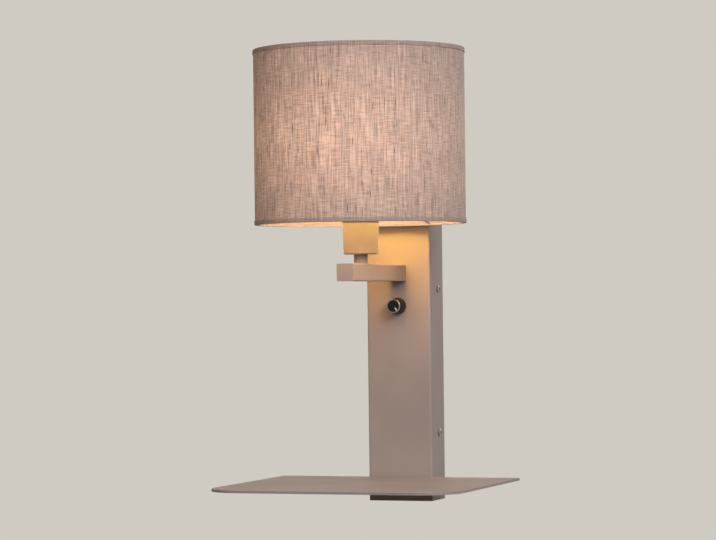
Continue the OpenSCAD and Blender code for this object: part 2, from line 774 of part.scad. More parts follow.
module arm_plug() color(zinc) difference() {
    translate([0, 0, arm_z])
        toward_front(front_y, arm_plug_l) square(arm_bore - 2 * plug_gap, center = true);
    front_rod(0, arm_z, front_y + past, arm_plug_l + 2 * past, nipple_d + 2 * thread_gap);
    front_rod(pin_offset, arm_z - pin_offset, front_y + past, arm_pin_l - cover_t - arm_plate_t / 2 + 2 * past,
              arm_pin_d + 2 * thread_gap);
}

module arm_pin() color(zinc)
    front_rod(pin_offset, arm_z - pin_offset, inside_y + arm_plate_t / 2, arm_pin_l, arm_pin_d);

module arm_nipple() color(zinc) difference() {
    nipple_l = arm_nipple_y - front_y + nipple_grip;
    front_rod(0, arm_z, arm_nipple_y, nipple_l, nipple_d);
    front_rod(0, arm_z, arm_nipple_y + past, nipple_l + 2 * past, nipple_bore);
}

module arm_backing_plate() color(zinc) difference() {
    translate([0, 0, arm_z])
        toward_front(inside_y + arm_plate_t, arm_plate_t) soft_rect(arm_plate_w, arm_plate_h, 3);
    front_rod(0, arm_z, inside_y + arm_plate_t + past, arm_plate_t + 2 * past, nipple_d + 2 * hole_gap);
    front_rod(pin_offset, arm_z - pin_offset, inside_y + arm_plate_t + past, arm_plate_t + 2 * past,
              arm_pin_d + 2 * thread_gap);
}

module arm_washer() color(zinc) difference() {
    front_rod(0, arm_z, arm_nut_y, arm_washer_t, arm_washer_d);
    front_rod(0, arm_z, arm_nut_y + past, arm_washer_t + 2 * past, nipple_d + 2 * hole_gap);
}

module arm_nut() color(zinc) translate([0, arm_nut_y + arm_nut_t, arm_z]) rotate([90, 0, 0])
    hex_nut(arm_nut_af, arm_nut_t, nipple_d + 2 * thread_gap);

// ---- neck and lampholder ----

module neck_nut() color(zinc) translate([0, lamp_y, arm_top_z - arm_t - neck_nut_t]) difference() {
    linear_extrude(neck_nut_t) square(arm_bore - 2 * neck_nut_gap, center = true);
    translate([0, 0, -past]) cylinder(d = nipple_d + 2 * thread_gap, h = neck_nut_t + 2 * past);
}

module neck_nipple() color(zinc) {
    foot_z = arm_top_z - arm_t - neck_nut_t - nipple_tail;
    lamp_ring(foot_z, well_z - foot_z, nipple_d / 2, nipple_bore / 2);
}

module neck_spacer() color(paint) lamp_ring(arm_top_z, neck_h, neck_d / 2, nipple_d / 2 + hole_gap);

module holder_cup() color(paint) translate([0, lamp_y, cup_z]) rotate_extrude() {
    bottom_r = cup_bottom_d / 2;
    top_r = cup_top_d / 2;
    hole_r = nipple_d / 2 + hole_gap;
    translate([hole_r, 0]) square([bottom_r - cup_edge_r - hole_r, cup_t]);
    translate([bottom_r - cup_edge_r, cup_edge_r]) intersection() {
        difference() {
            circle(cup_edge_r);
            circle(cup_edge_r - cup_t);
        }
        translate([0, -cup_edge_r]) square(cup_edge_r);
    }
    polygon([[bottom_r - cup_t, cup_edge_r], [bottom_r, cup_edge_r], [top_r, cup_h], [top_r - cup_t, cup_h]]);
}

module lampholder_base() color(white) difference() {
    translate([0, lamp_y, cup_z + cup_t]) cylinder(r = base_r, h = deck_z - cup_z - cup_t);
    translate([0, lamp_y, cup_z]) cylinder(d = nipple_d + 2 * thread_gap, h = cup_h / 2);
    translate([0, lamp_y, well_z]) cylinder(d = base_well_d, h = deck_z - deck_t - well_z);
    for (x = [-rivet_x, rivet_x])
        translate([x, lamp_y, deck_z - deck_t - past]) cylinder(r = 1.2 + thread_gap, h = deck_t + 2 * past);
}

// Rivet through the deck with a wire clamp below it
module deck_terminal(x) {
    clamp = [clamp_h * 5 / 6, clamp_h, clamp_h];
    translate([x, lamp_y, deck_z - deck_t - 0.5]) cylinder(r = 1.2, h = deck_t + 0.5 + shell_t);
    translate([x - clamp[0] / 2, lamp_y - clamp[1] / 2, deck_z - deck_t - clamp[2]]) cube(clamp);
}

module lampholder_shell() color(brass) {
    lamp_ring(deck_z, shell_h, shell_r + shell_t, shell_r);
    translate([-shell_r - shell_t / 2, lamp_y - 2.5, deck_z]) cube([shell_r - rivet_x + 2, 5, shell_t]);
    deck_terminal(-rivet_x);
}

module lampholder_contact() color(brass) {
    strip_w = 5;
    deck_terminal(rivet_x);
    translate([0, lamp_y - strip_w / 2, deck_z]) {
        translate([-2, 0, 0]) cube([rivet_x + 4, strip_w, shell_t]);
        translate([-2, 0, 0]) cube([shell_t, strip_w, contact_rise]);
        translate([-2, 0, contact_rise - shell_t]) cube([4, strip_w, shell_t]);
    }
}

module lampholder_skirt() color(white) difference() {
    union() {
        lamp_ring(deck_z, deck_drop, cup_top_d / 2 - cup_t - cup_gap, shell_r + shell_t + layer_gap);
        lamp_ring(cup_top_z, skirt_h, skirt_r, shell_r + shell_t + layer_gap);
    }
}

// ---- shade ----

// Ring nut: a hub on the thread and a wider flange with grip notches
module ring_nut() difference() {
    flange_h = ring_nut_h / 2;
    union() {
        cylinder(d = ring_nut_d, h = flange_h);
        cylinder(d = ring_nut_d - 6, h = ring_nut_h);
    }
    translate([0, 0, -past]) cylinder(r = skirt_r + layer_gap, h = ring_nut_h + 2 * past);
    for (i = [0:ring_nut_notches - 1]) rotate(i * 360 / ring_nut_notches)
        translate([ring_nut_d / 2 + 0.6, 0, -past]) cylinder(r = 1.8, h = flange_h + 2 * past);
}

module shade_ring_nuts() color(white) {
    translate([0, lamp_y, fitter_z + fitter_t]) ring_nut();
    translate([0, lamp_y, fitter_z]) mirror([0, 0, 1]) ring_nut();
}

module wire_ring(z) {
    translate([0, lamp_y, z]) rotate_extrude() translate([wire_r, 0]) circle(d = wire_d);
}

// The spokes slope from under the fitter washer out to the lower wire ring
module spokes(d) {
    inner_r = fitter_d / 2 - spoke_d;
    rise = fitter_z - spoke_d / 2 + 0.3 - (shade_z + wire_inset);
    run = wire_r - inner_r;
    for (i = [0:spoke_count - 1]) translate([0, lamp_y, shade_z + wire_inset])
        rotate(i * 360 / spoke_count - 90) translate([wire_r, 0, 0])
            rotate([0, -atan2(run, rise), 0]) cylinder(d = d, h = norm([run, rise]));
}

// Turns the pieces that follow the spokes about the shade's axis
module with_spokes() translate([0, lamp_y, 0]) rotate(spoke_turn) translate([0, -lamp_y, 0]) children();

module shade_lower_frame() color(zinc) with_spokes() {
    lamp_ring(fitter_z, fitter_t, fitter_d / 2, skirt_r + 2 * hole_gap);
    wire_ring(shade_z + wire_inset);
    spokes(spoke_d);
}

module shade_upper_ring() color(zinc) wire_ring(shade_z + shade_h - wire_inset);

module shade_liner() color(white) lamp_ring(fabric_z, fabric_h, liner_r, liner_r - liner_t);

module shade_fabric() color(linen) {
    seam_angle = seam_w / shade_r * 180 / PI;
    lamp_ring(fabric_z, fabric_h, shade_r, shade_r - fabric_t);
    translate([0, lamp_y, shade_z + band_w + layer_gap]) rotate(90 - seam_turn - seam_angle / 2)
        rotate_extrude(angle = seam_angle) translate([shade_r - fabric_t / 2, 0])
            square([fabric_t / 2 + band_t, shade_h - 2 * (band_w + layer_gap)]);
}

// Section of a folded band: outside, round the edge and in behind the wire
module band_section() {
    inner_r = wire_r - wire_d / 2 - layer_gap - band_t;
    outer_r = shade_r + layer_gap;
    translate([outer_r, 0]) square([band_t, band_w]);
    translate([inner_r, 0]) square([outer_r + band_t - inner_r, band_t]);
    translate([inner_r, 0]) square([band_t, band_turn_in]);
}

module shade_bottom_band() color(linen) with_spokes() difference() {
    translate([0, lamp_y, shade_z]) rotate_extrude() band_section();
    spokes(spoke_d + 2 * hole_gap);
}

module shade_top_band() color(linen)
    translate([0, lamp_y, shade_z + shade_h]) mirror([0, 0, 1]) rotate_extrude() band_section();

// ---- bulb ----

module bulb_tip() color(zinc) translate([0, lamp_y, tip_z]) cylinder(r1 = 3.5, r2 = 5, h = 1.5);

module bulb_cap() color(zinc) translate([0, lamp_y, tip_z]) {
    translate([0, 0, 1.5]) cylinder(r1 = 5, r2 = bulb_cap_d / 2 - 1.5, h = cap_foot_h - 1.5);
    translate([0, 0, cap_foot_h]) cylinder(d = bulb_cap_d, h = bulb_cap_h - cap_foot_h);
}

module bulb_housing() color(white) {
    cap_end = tip_z + bulb_cap_h;
    collar = max(cup_top_z + skirt_h + 0.6 - cap_end, 3);
    translate([0, lamp_y, cap_end]) cylinder(d = bulb_neck_d, h = collar);
    translate([0, lamp_y, cap_end + collar])
        cylinder(r1 = bulb_neck_d / 2, r2 = seam_r, h = seam_z - cap_end - collar);
}

module bulb_globe() color("#fff3dc") translate([0, lamp_y, globe_z]) difference() {
    sphere(globe_r, $fn = 96);
    sphere(globe_r - globe_t, $fn = 96);
    translate([-bulb_d, -bulb_d, seam_z - globe_z - 2 * bulb_d]) cube(2 * bulb_d);
}

module led_board() color(white) {
    board_r = seam_r - globe_t - 1.5;
    translate([0, lamp_y, seam_z]) {
        cylinder(r = board_r, h = board_t);
        for (i = [0:7]) rotate(i * 45) translate([board_r * 0.6 - 1.5, -1.5, board_t / 2])
            cube([3, 3, board_t / 2 + 0.8]);
    }
}

// ---- dimmer and knob ----

module dimmer_module() color(black) difference() {
    translate([0, 0, knob_z])
        toward_front(dimmer_back_y, dimmer_d) soft_rect(dimmer_w, dimmer_h, dimmer_edge_r);
    front_rod(0, knob_z, bushing_foot_y, bushing_root + past, bushing_d + 2 * thread_gap);
    front_rod(0, knob_z, bushing_foot_y + collar_t + 1, collar_t + 1 + past, collar_d + 2 * hole_gap);
    front_rod(0, knob_z, dimmer_back_y - 3, dimmer_d, shaft_d + 2 * shaft_gap);
}

module dimmer_bushing() color(zinc) difference() {
    front_rod(0, knob_z, bushing_foot_y, bushing_foot_y - bushing_y, bushing_d);
    front_rod(0, knob_z, bushing_foot_y + past, bushing_foot_y - bushing_y + 2 * past,
              shaft_d + 2 * shaft_gap);
}

module dimmer_washer() color(zinc) difference() {
    front_rod(0, knob_z, front_y, dimmer_washer_t, dimmer_washer_d);
    front_rod(0, knob_z, front_y + past, dimmer_washer_t + 2 * past, bushing_d + 2 * hole_gap);
}

module dimmer_nut() color(zinc) translate([0, front_y - dimmer_washer_t, knob_z]) rotate([90, 0, 0])
    hex_nut(dimmer_nut_af, dimmer_nut_t, bushing_d + 2 * thread_gap);

// Turned so that +z of the child is the pointer's direction
module at_pointer() {
    translate([0, 0, knob_z]) rotate([0, pointer_turn, 0]) children();
}

module dimmer_shaft() color(zinc) {
    tail_y = dimmer_back_y - 3.5;
    front_rod(0, knob_z, bushing_foot_y + 0.3 + collar_t, collar_t, collar_d);
    at_pointer() difference() {
        front_rod(0, 0, tail_y, tail_y - shaft_tip_y, shaft_d);
        translate([-shaft_d, shaft_tip_y - past, shaft_d / 4]) cube([2 * shaft_d, shaft_l + past - 0.5, shaft_d]);
    }
}

module knob_shape() translate([0, knob_back_y, knob_z]) rotate([90, 0, 0]) {
    base_l = 2;
    cylinder(d = knob_d, h = base_l);
    translate([0, 0, base_l]) cylinder(d1 = knob_d - 0.3, d2 = knob_front_d, h = knob_l - ring_l - base_l);
    cylinder(d = face_d, h = knob_l - ring_l / 3);
}

module ring_cone() translate([0, knob_face_y + ring_l, knob_z]) rotate([90, 0, 0])
    cylinder(d1 = knob_front_d, d2 = face_d + 0.9, h = ring_l);

module pointer_bar(w, t) at_pointer()
    translate([-w / 2, knob_face_y - past, pointer_start]) cube([w, t + past, knob_d]);

module knob_body() color(black) difference() {
    knob_shape();
    front_rod(0, knob_z, knob_back_y + past, past + bushing_l - knob_gap + 0.6, 2 * knob_recess_r);
    at_pointer() intersection() {
        front_rod(0, 0, knob_back_y, knob_back_y - shaft_tip_y + 0.3, shaft_d + 2 * shaft_gap);
        union() {
            translate([-shaft_d, shaft_tip_y - 0.3 + shaft_l, -shaft_d]) cube(2 * shaft_d);
            translate([-shaft_d, shaft_tip_y - past, -shaft_d])
                cube([2 * shaft_d, 2 * shaft_d, shaft_d * 1.25 + shaft_gap]);
        }
    }
    pointer_bar(pointer_w + 2 * shaft_gap, ring_l / 3 + pointer_t);
}

module knob_ring() color("#d8d8d6") difference() {
    ring_cone();
    front_rod(0, knob_z, knob_face_y + ring_l + past, ring_l + 2 * past, face_d + 2 * shaft_gap);
    pointer_bar(pointer_w + 2 * shaft_gap, ring_l / 3 + pointer_t);
}

module knob_pointer() color(white) intersection() {
    pointer_bar(pointer_w, ring_l / 3 + pointer_t);
    ring_cone();
}

// ---- wires, each a route of corner points ----

core_x = core_pitch / 2;
clamp_z = block_z + core_lead / 2;
block_end_z = block_z + block_l / 2;
module_y = (inside_y + dimmer_back_y) / 2;
module_foot_z = knob_z - dimmer_h / 2;
module_top_z = knob_z + dimmer_h / 2;
neutral_y = (dimmer_back_y - bracket_t) / 2;
tag_z = stud_z - tag_d - 2 * tag_t;
tag_y = -bracket_t - tag_t - core_d / 2;
arm_run = [[0, arm_nipple_y, arm_z], [0, front_y - nipple_grip, arm_z],
           [0, front_y - nipple_grip - core_settle, arm_z - core_sag],
           [0, lamp_y, arm_z - core_sag], [0, lamp_y, well_z]];
terminal_end = [rivet_x, lamp_y, deck_z - deck_t - clamp_h];

module live_wire() color("#6b3f2a") wire([
    [-pole_pitch, barrel_y, clamp_z],
    [-pole_pitch, barrel_y, block_end_z + core_lead],
    [-pole_pitch, (barrel_y + inside_y) / 2, (block_end_z + module_foot_z) / 2],
    [-tail_offset, module_y, module_foot_z - tail_offset],
    [-tail_offset, module_y, module_foot_z]], core_bend);

module lamp_wire() color("#26211f") wire(concat([
    [tail_offset, dimmer_back_y - core_lead, module_top_z],
    [tail_offset, arm_nipple_y + core_turn, (module_top_z + arm_z) / 2],
    [core_x, arm_nipple_y + core_turn, arm_z]],
    [for (p = arm_run) p + [core_x, 0, 0]],
    [terminal_end - [0, 0, core_lead], terminal_end]), core_bend);

module neutral_wire() color("#3d6ea5") wire(concat([
    [0, barrel_y, clamp_z],
    [0, barrel_y, block_end_z + core_lead],
    [0, neutral_y, block_end_z + 4 * core_lead],
    [0, neutral_y, knob_z],
    [-core_x, arm_nipple_y + 2 * core_turn, arm_z]],
    [for (p = arm_run) p - [core_x, 0, 0]],
    [[-terminal_end[0], lamp_y, terminal_end[2] - core_lead], [-terminal_end[0], lamp_y, terminal_end[2]]]),
    core_bend);

module earth_wire() color("#9fb03a") wire([
    [pole_pitch, barrel_y, clamp_z],
    [pole_pitch, barrel_y, block_end_z + core_lead],
    [stud_offset, tag_y, tag_z - 2 * core_lead],
    [stud_offset, tag_y, tag_z]], core_bend);

wall_bracket();
clinch_nuts();
cable_grommet();
terminal_block();
terminal_inserts();
clamp_screws();
block_screws();
earth_stud();
earth_tag();
earth_nut();
column_cover();
cover_screws();
shelf();
shelf_screws();
shelf_backing_plate();
arm_tube();
arm_end_cap();
arm_plug();
arm_pin();
arm_nipple();
arm_backing_plate();
arm_washer();
arm_nut();
neck_nut();
neck_nipple();
neck_spacer();
holder_cup();
lampholder_base();
lampholder_shell();
lampholder_contact();
lampholder_skirt();
shade_ring_nuts();
shade_lower_frame();
shade_upper_ring();
shade_liner();
shade_fabric();
shade_top_band();
shade_bottom_band();
bulb_cap();
bulb_tip();
bulb_housing();
bulb_globe();
led_board();
dimmer_module();
dimmer_bushing();
dimmer_washer();
dimmer_nut();
dimmer_shaft();
knob_body();
knob_ring();
knob_pointer();
live_wire();
lamp_wire();
neutral_wire();
earth_wire();
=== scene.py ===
"""Wall lamp with a shelf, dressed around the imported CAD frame. Everything is in metres."""
import math

import bpy
from mathutils import Matrix, Vector


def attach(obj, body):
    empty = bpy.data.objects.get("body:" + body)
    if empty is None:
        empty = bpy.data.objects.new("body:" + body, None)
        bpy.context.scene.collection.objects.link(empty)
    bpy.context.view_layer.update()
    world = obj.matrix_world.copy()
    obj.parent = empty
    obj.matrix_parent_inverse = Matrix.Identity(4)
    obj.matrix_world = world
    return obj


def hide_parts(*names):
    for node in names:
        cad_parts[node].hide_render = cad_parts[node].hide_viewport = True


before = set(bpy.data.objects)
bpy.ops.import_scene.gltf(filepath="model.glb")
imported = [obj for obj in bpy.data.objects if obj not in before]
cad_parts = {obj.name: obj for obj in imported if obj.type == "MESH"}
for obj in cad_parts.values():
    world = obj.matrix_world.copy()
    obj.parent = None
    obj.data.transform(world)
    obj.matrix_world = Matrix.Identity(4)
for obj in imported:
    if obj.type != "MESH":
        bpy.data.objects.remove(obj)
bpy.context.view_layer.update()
MM = 0.001

# Places and sizes of the part, as in its source, in metres
LAMP_Y = -165 * MM
SHADE_LOW_Z = 146 * MM
SHADE_HIGH_Z = 328 * MM
SHADE_R = 110 * MM
SKIRT_THREAD_PITCH = 4 * MM
SKIRT_THREAD_FOOT_R = 19 * MM          # the thread's ridges stand outside this radius
GLOBE_Z = 236 * MM
GLOBE_R = 30 * MM
KNOB_Z = 60 * MM
KNOB_BACK_Y = -45.6 * MM
KNOB_FACE_Y = -62.6 * MM


# ---- camera, at the photograph's viewing angle ----
PHOTO_W, PHOTO_H = 716, 540
FOCAL_PX = 2831.6
CENTRE_Y_PX = 300.3                    # where the horizon lies, from the picture's top
YAW = 0.341                            # radians, to the left of straight at the wall
ROLL = -0.0119
CAMERA_PLACE = Vector((0.9842, -2.9492, 0.0666))


def place_camera():
    """The camera, as it was fitted to the lamp's edges in the photograph."""
    data = bpy.data.cameras.new("camera")
    data.sensor_fit = "HORIZONTAL"
    data.sensor_width = 36
    data.lens = data.sensor_width * FOCAL_PX / PHOTO_W
    data.shift_y = (CENTRE_Y_PX - PHOTO_H / 2) / PHOTO_W
    data.clip_start = 0.05
    data.clip_end = 40
    camera = bpy.data.objects.new("camera", data)
    bpy.context.collection.objects.link(camera)
    ahead = Vector((-math.sin(YAW), math.cos(YAW), 0))
    right = Vector((math.cos(YAW), math.sin(YAW), 0))
    up = Vector((0, 0, 1))
    turned_right = right * math.cos(ROLL) + up * math.sin(ROLL)
    turned_up = up * math.cos(ROLL) - right * math.sin(ROLL)
    turn = Matrix((turned_right, turned_up, -ahead)).transposed()
    camera.matrix_world = Matrix.Translation(CAMERA_PLACE) @ turn.to_4x4()
    bpy.context.scene.camera = camera


place_camera()


# ---- material tools ----
def hexa(code):
    """An sRGB hex colour as linear RGBA."""
    parts = [int(code[i:i + 2], 16) / 255 for i in (1, 3, 5)]
    return [p / 12.92 if p <= 0.04045 else ((p + 0.055) / 1.055) ** 2.4 for p in parts] + [1.0]


def grey(value):
    """A plain value as a stop of a colour ramp."""
    return (value, value, value, 1)


def fill(tree, node, inputs):
    """Gives a node's sockets, in order or by name or number, a value or another node's output."""
    for socket, value in (inputs.items() if isinstance(inputs, dict) else enumerate(inputs)):
        if isinstance(value, bpy.types.NodeSocket):
            tree.links.new(value, node.inputs[socket])
        else:
            node.inputs[socket].default_value = value


def add(tree, kind, inputs=(), output=0, stops=(), **settings):
    """Adds a shader node with its settings, links and colour ramp stops; gives back one of its outputs."""
    node = tree.nodes.new("ShaderNode" + kind)
    for name, value in settings.items():
        setattr(node, name, value)
    for number, (place, colour) in enumerate(stops):
        points = node.color_ramp.elements
        point = points[number] if number < len(points) else points.new(place)
        point.position, point.color = place, colour
    fill(tree, node, inputs)
    return node.outputs[output]


def start(name):
    """A fresh material, its node tree and its Principled shader."""
    material = bpy.data.materials.new(name)
    material.use_nodes = True
    tree = material.node_tree
    return material, tree, tree.nodes["Principled BSDF"]


def grain(tree, size, detail=2.0):
    """Noise of a real size, in metres, that stays in place on the piece."""
    place = add(tree, "TexCoord", output="Object")
    return add(tree, "TexNoise", {"Vector": place, "Scale": 1 / size, "Detail": detail}, output="Fac")


# ---- materials ----
def powder_coat():
    """Satin polyester powder coat, sprayed and baked: an even warm grey with a fine orange peel."""
    material, tree, shader = start("powder_coat_warm_grey")
    peel = grain(tree, 1.1 * MM)          # orange peel about 1 mm across
    cloud = grain(tree, 70 * MM)          # faint variation from the spray
    speck = grain(tree, 0.5 * MM, 1.0)    # grains of powder, drawn at half a millimetre so that they show
    tone = add(tree, "Math", [speck, 0.06, cloud], operation="MULTIPLY_ADD")
    colour = add(tree, "ValToRGB", [tone], stops=[(0.38, hexa("#AC9C94")), (0.68, hexa("#B3A39A"))])
    rough = add(tree, "MapRange", [peel, 0.3, 0.7, 0.50, 0.58])
    relief = add(tree, "Bump", {"Height": peel, "Distance": 0.03 * MM, "Strength": 0.5})
    fill(tree, shader, {"Base Color": colour, "Roughness": rough, "Specular IOR Level": 0.3,
                        "Normal": relief})
    return material


def metal(name, colour, roughness, mark):
    """Plated or drawn metal: fine marks of a real size that vary its gloss."""
    material, tree, shader = start(name)
    marks = grain(tree, mark, 3.0)
    dark = [c * 0.86 for c in hexa(colour)[:3]] + [1]
    tone = add(tree, "ValToRGB", [marks], stops=[(0.3, dark), (0.7, hexa(colour))])
    rough = add(tree, "MapRange", [marks, 0.3, 0.7, roughness - 0.05, roughness + 0.06])
    relief = add(tree, "Bump", {"Height": marks, "Distance": 0.02 * MM, "Strength": 0.3})
    fill(tree, shader, {"Base Color": tone, "Metallic": 1.0, "Roughness": rough, "Normal": relief})
    return material


def moulded(name, colour, roughness, gloss=0.5):
    """Moulded plastic: a fine spark-eroded skin and a hint of uneven colour."""
    material, tree, shader = start(name)
    skin = grain(tree, 0.6 * MM)
    cloud = grain(tree, 15 * MM)
    dark = [c * 0.9 for c in hexa(colour)[:3]] + [1]
    tone = add(tree, "ValToRGB", [cloud], stops=[(0.3, dark), (0.7, hexa(colour))])
    relief = add(tree, "Bump", {"Height": skin, "Distance": 0.015 * MM, "Strength": 0.4})
    fill(tree, shader, {"Base Color": tone, "Roughness": roughness, "Specular IOR Level": gloss,
                        "Normal": relief})
    return material


def threaded_plastic():
    """White moulded polymer with a round thread outside, for the ring nuts."""
    material, tree, shader = start("white_threaded_polymer")
    place = add(tree, "TexCoord", output="Object")
    centred = add(tree, "Mapping", {"Vector": place, "Location": (0, -LAMP_Y, 0)})
    x, y, z = (add(tree, "SeparateXYZ", [centred], output=k) for k in range(3))
    turn = add(tree, "Math", [y, x], operation="ARCTAN2")
    climb = add(tree, "Math", [z, 2 * math.pi / SKIRT_THREAD_PITCH, turn], operation="MULTIPLY_ADD")
    ridge = add(tree, "Math", [climb], operation="SINE")
    level = add(tree, "Mapping", {"Vector": centred, "Scale": (1, 1, 0)})
    radius = add(tree, "VectorMath", [level], operation="LENGTH", output=1)
    outside = add(tree, "Math", [radius, SKIRT_THREAD_FOOT_R], operation="GREATER_THAN")
    ridge = add(tree, "Math", [ridge, outside], operation="MULTIPLY")
    skin = grain(tree, 0.6 * MM)
    tone = add(tree, "ValToRGB", [skin], stops=[(0.3, hexa("#DDD8CC")), (0.7, hexa("#E6E1D5"))])
    relief = add(tree, "Bump", {"Height": ridge, "Distance": 0.5 * MM, "Strength": 0.8})
    fill(tree, shader, {"Base Color": tone, "Roughness": 0.4, "Normal": relief})
    return material


def opal_globe():
    """Opal polycarbonate globe, lit from inside: a little dimmer near its collar."""
    material, tree, shader = start("opal_globe_lit")
    cloud = grain(tree, 9 * MM)
    height = add(tree, "SeparateXYZ", [add(tree, "TexCoord", output="Object")], output=2)
    level = add(tree, "MapRange", [height, GLOBE_Z - GLOBE_R * 0.8, GLOBE_Z + GLOBE_R * 0.4, 0.55, 0.85])
    uneven = add(tree, "MapRange", [cloud, 0.3, 0.7, 0.95, 1.03])
    level = add(tree, "Math", [level, uneven], operation="MULTIPLY")
    tone = add(tree, "ValToRGB", [cloud], stops=[(0.3, hexa("#D8CEBF")), (0.7, hexa("#DFD6C8"))])
    fill(tree, shader, {"Base Color": tone, "Roughness": 0.35, "Emission Color": hexa("#FFD08A"),
                        "Emission Strength": level})
    return material


MATERIALS = {
    "paint": powder_coat(),
    "zinc": metal("zinc_plated_steel", "#B9BCBF", 0.32, 1.5 * MM),
    "brass": metal("stamped_brass", "#C9A253", 0.28, 1.2 * MM),
    "nickel": metal("bright_nickel_screws", "#A5A29E", 0.22, 2 * MM),
    "ring": metal("polished_chrome_ring", "#9E9B98", 0.2, 2 * MM),
    "cap": metal("nickel_plated_cap", "#C4C2BC", 0.25, 1.2 * MM),
    "white": moulded("white_moulded_insulator", "#E4DFD3", 0.45),
    "thread": threaded_plastic(),
    "board": moulded("white_circuit_board", "#ECEBE6", 0.4),
    "black": moulded("black_moulded_casing", "#1C1B1B", 0.5),
    "rubber": moulded("black_rubber", "#181716", 0.75),
    "knob": moulded("black_gloss_knob", "#080707", 0.22, 0.3),
    "pointer": moulded("white_gloss_pointer", "#EFECE6", 0.35),
    "frame_wire": moulded("white_coated_wire", "#E6E1D6", 0.4),
    "brown": moulded("brown_wire_insulation", "#6B3F2A", 0.45),
    "dark": moulded("black_wire_insulation", "#26211F", 0.45),
    "blue": moulded("blue_wire_insulation", "#2E5F96", 0.45),
    "earth": moulded("green_yellow_wire_insulation", "#9FB03A", 0.45),
    "globe": opal_globe(),
}

FINISH = {
    "paint": ["column_cover", "shelf", "arm_tube", "arm_end_cap", "neck_spacer", "holder_cup"],
    "zinc": ["wall_bracket", "clinch_nuts", "clamp_screws", "block_screws", "earth_stud", "earth_nut",
             "shelf_screws", "shelf_backing_plate", "arm_plug", "arm_pin", "arm_nipple", "arm_backing_plate",
             "arm_washer", "arm_nut", "neck_nut", "neck_nipple", "dimmer_bushing", "dimmer_washer",
             "dimmer_nut", "dimmer_shaft"],
    "brass": ["terminal_inserts", "earth_tag", "lampholder_shell", "lampholder_contact"],
    "nickel": ["cover_screws"],
    "ring": ["knob_ring"],
    "cap": ["bulb_cap", "bulb_tip"],
    "white": ["terminal_block", "lampholder_base", "shade_ring_nuts", "bulb_housing"],
    "thread": ["lampholder_skirt"],
    "board": ["led_board"],
    "black": ["dimmer_module"],
    "rubber": ["cable_grommet"],
    "knob": ["knob_body"],
    "pointer": ["knob_pointer"],
    "frame_wire": ["shade_lower_frame", "shade_upper_ring"],
    "brown": ["live_wire"],
    "dark": ["lamp_wire"],
    "blue": ["neutral_wire"],
    "earth": ["earth_wire"],
    "globe": ["bulb_globe"],
}


def dress(node, material):
    """Gives every slot of a CAD node one material."""
    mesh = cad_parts[node].data
    if not mesh.materials:
        mesh.materials.append(material)
    for i in range(len(mesh.materials)):
        mesh.materials[i] = material


for finish_name, nodes in FINISH.items():
    for node_name in nodes:
        dress(node_name, MATERIALS[finish_name])


# ---- the shade's cloth ----
SEAM_DIRECTION = math.radians(79)      # where the linen's ends lap, seen from the shade's axis
THREAD_PITCH = 0.8 * MM
GLOW_Z = 231 * MM                      # where the bulb shows through most
GLOW_REACH = 85 * MM                   # height over which its light halves
BRIGHT_SIDE = (0.10, -0.995, 0)        # the light is strongest here and opposite
BINDING_OUTSIDE_R = 107.5 * MM         # a binding's outer leaf lies outside this radius
BINDING_INSIDE_R = 106 * MM            # and its turned-in leaf inside this one


def round_the_shade(tree):
    """(distance round the shade, height above its bottom edge) in metres, from Object coordinates."""
    centred = add(tree, "Mapping", {"Vector": add(tree, "TexCoord", output="Object"),
                                    "Location": (0, -LAMP_Y, -SHADE_LOW_Z)})
    # the cut of the angle is turned into the seam, where the cloth's ends really meet
    turned = add(tree, "VectorRotate", {"Vector": centred, "Angle": math.pi - SEAM_DIRECTION},
                 rotation_type="Z_AXIS")
    x, y, z = (add(tree, "SeparateXYZ", [turned], output=k) for k in range(3))
    angle = add(tree, "Math", [y, x], operation="ARCTAN2")
    return add(tree, "Math", [angle, SHADE_R], operation="MULTIPLY"), z


def threads(tree, along, across, width, length, detail=2.0):
    """Noise drawn out along the threads: streaks of the given width and length."""
    x = add(tree, "Math", [across, 1 / width], operation="MULTIPLY")
    y = add(tree, "Math", [along, 1 / length], operation="MULTIPLY")
    place = add(tree, "CombineXYZ", [x, y, 0.0])
    return add(tree, "TexNoise", {"Vector": place, "Scale": 1.0, "Detail": detail, "Roughness": 0.6},
               output="Fac")


def outward_of_shade(tree):
    """(distance from the shade's axis in metres, cosine between straight out and the bright side)."""
    flat = add(tree, "Mapping", {"Vector": add(tree, "TexCoord", output="Object"),
                                 "Location": (0, -LAMP_Y, 0), "Scale": (1, 1, 0)})
    radius = add(tree, "VectorMath", [flat], operation="LENGTH", output=1)
    outward = add(tree, "VectorMath", [flat], operation="NORMALIZE")
    return radius, add(tree, "VectorMath", [outward, BRIGHT_SIDE], operation="DOT_PRODUCT", output=1)


